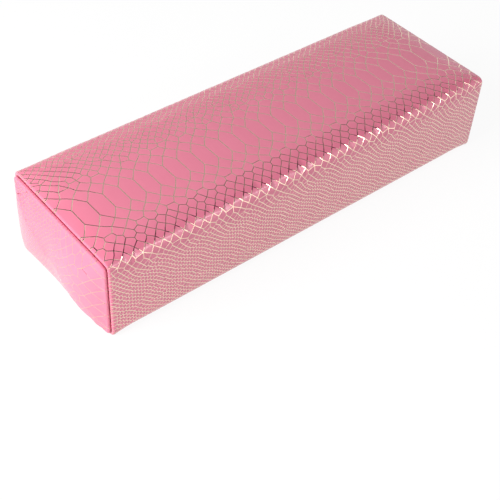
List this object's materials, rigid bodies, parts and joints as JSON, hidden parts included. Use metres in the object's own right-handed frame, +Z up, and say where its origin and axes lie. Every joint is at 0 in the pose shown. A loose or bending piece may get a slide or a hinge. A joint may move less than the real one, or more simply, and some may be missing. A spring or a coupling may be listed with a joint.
{
  "type": "hand rest cushion",
  "caption": "Rectangular foam hand rest for manicures, in a sewn cover of glossy embossed snakeskin leathercloth with plain end panels.",
  "frame": {"origin": "middle of the flat underside, on the surface that the cushion rests on", "axes": "+X along the cushion's length, +Y from its front to its back, +Z up through the padded top"},
  "size_m": [0.3, 0.097, 0.058],
  "materials": {
    "pink_leathercloth": "glossy coated leathercloth, embossed with snakeskin scales, metallic foil in the grooves",
    "upholstery_foam": "open-cell polyurethane foam",
    "sewing_thread": "spun polyester thread"
  },
  "bodies": {
    "root": {"foam_block": "upholstery_foam", "cover_wrap": "pink_leathercloth", "end_panel_left": "pink_leathercloth", "end_panel_right": "pink_leathercloth", "end_seam_thread_left": "sewing_thread", "end_seam_thread_right": "sewing_thread", "closing_seam_thread": "sewing_thread"}
  },
  "joints": []
}
